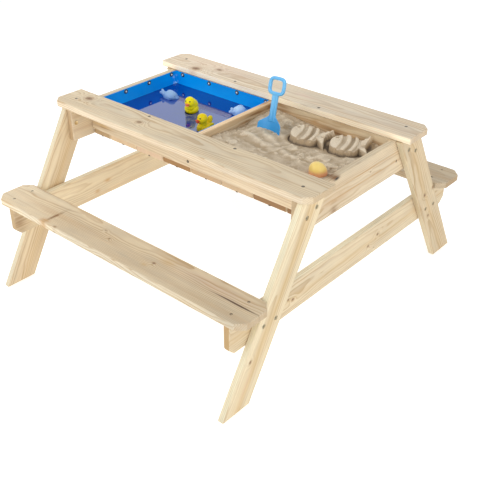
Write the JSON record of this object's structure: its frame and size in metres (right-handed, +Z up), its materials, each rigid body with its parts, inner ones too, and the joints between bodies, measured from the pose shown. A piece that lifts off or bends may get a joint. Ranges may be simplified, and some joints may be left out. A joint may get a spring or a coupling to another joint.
{
  "type": "children's picnic table with sandbox and water basin",
  "caption": "Wooden children's picnic table with two bench seats; the opening in its top holds a blue water basin and a sandbox, both filled, with bath toys, a spade and a mould",
  "frame": {"origin": "on the ground, in the middle of the table's footprint", "axes": "+X runs along the table top to the sandbox end, +Y points to the rear seat, +Z up"},
  "size_m": [0.903, 1.055, 0.5891],
  "materials": {
    "pine": "matte",
    "bolt_steel": "satin",
    "screw_steel": "satin",
    "liner_sheet": "satin",
    "water": "gloss",
    "sand": "matte",
    "spade_plastic": "satin",
    "duck_vinyl": "satin",
    "fish_vinyl": "satin",
    "mould_plastic": "satin"
  },
  "bodies": {
    "table": {"top_board_front": "pine", "top_board_rear": "pine", "end_board_left": "pine", "end_board_right": "pine", "apron_front": "pine", "apron_rear": "pine", "divider_board": "pine", "floor_slat_1": "pine", "floor_slat_2": "pine", "floor_slat_3": "pine", "floor_slat_4": "pine", "floor_slat_5": "pine", "floor_slat_6": "pine", "floor_slat_7": "pine", "floor_slat_8": "pine", "leg_front_left": "pine", "leg_front_right": "pine", "leg_rear_left": "pine", "leg_rear_right": "pine", "bearer_left": "pine", "bearer_right": "pine", "seat_board_front": "pine", "seat_board_rear": "pine", "leg_bolt_1": "bolt_steel", "leg_bolt_2": "bolt_steel", "leg_bolt_3": "bolt_steel", "leg_bolt_4": "bolt_steel", "leg_bolt_5": "bolt_steel", "leg_bolt_6": "bolt_steel", "leg_bolt_7": "bolt_steel", "leg_bolt_8": "bolt_steel", "leg_bolt_9": "bolt_steel", "leg_bolt_10": "bolt_steel", "leg_bolt_11": "bolt_steel", "leg_bolt_12": "bolt_steel", "leg_bolt_13": "bolt_steel", "leg_bolt_14": "bolt_steel", "leg_bolt_15": "bolt_steel", "leg_bolt_16": "bolt_steel", "top_screw_1": "screw_steel", "top_screw_2": "screw_steel", "top_screw_3": "screw_steel", "top_screw_4": "screw_steel", "top_screw_5": "screw_steel", "top_screw_6": "screw_steel", "top_screw_7": "screw_steel", "top_screw_8": "screw_steel", "divider_screw_1": "screw_steel", "divider_screw_2": "screw_steel", "divider_screw_3": "screw_steel", "divider_screw_4": "screw_steel", "water_liner": "liner_sheet", "water_fill": "water", "sand_fill": "sand"},
    "spade_loose": {"spade": "spade_plastic"},
    "duck_1_loose": {"duck_1": "duck_vinyl"},
    "duck_2_loose": {"duck_2": "duck_vinyl"},
    "fish_1_loose": {"fish_1": "fish_vinyl"},
    "fish_2_loose": {"fish_2": "fish_vinyl"},
    "orange_mould_loose": {"orange_mould": "mould_plastic"}
  },
  "joints": [
    {"name": "spade_lift", "type": "slide", "parent": "table", "child": "spade_loose", "axis": [-0.0467, 0.2924, 0.9552], "range_m": [0, 0.12]},
    {"name": "duck_1_lift", "type": "slide", "parent": "table", "child": "duck_1_loose", "axis": [0, 0, 1], "range_m": [0, 0.12]},
    {"name": "duck_2_lift", "type": "slide", "parent": "table", "child": "duck_2_loose", "axis": [0, 0, 1], "range_m": [0, 0.12]},
    {"name": "fish_1_lift", "type": "slide", "parent": "table", "child": "fish_1_loose", "axis": [0, 0, 1], "range_m": [0, 0.12]},
    {"name": "fish_2_lift", "type": "slide", "parent": "table", "child": "fish_2_loose", "axis": [0, 0, 1], "range_m": [0, 0.12]},
    {"name": "orange_mould_lift", "type": "slide", "parent": "table", "child": "orange_mould_loose", "axis": [0, 0, 1], "range_m": [0, 0.12]}
  ]
}
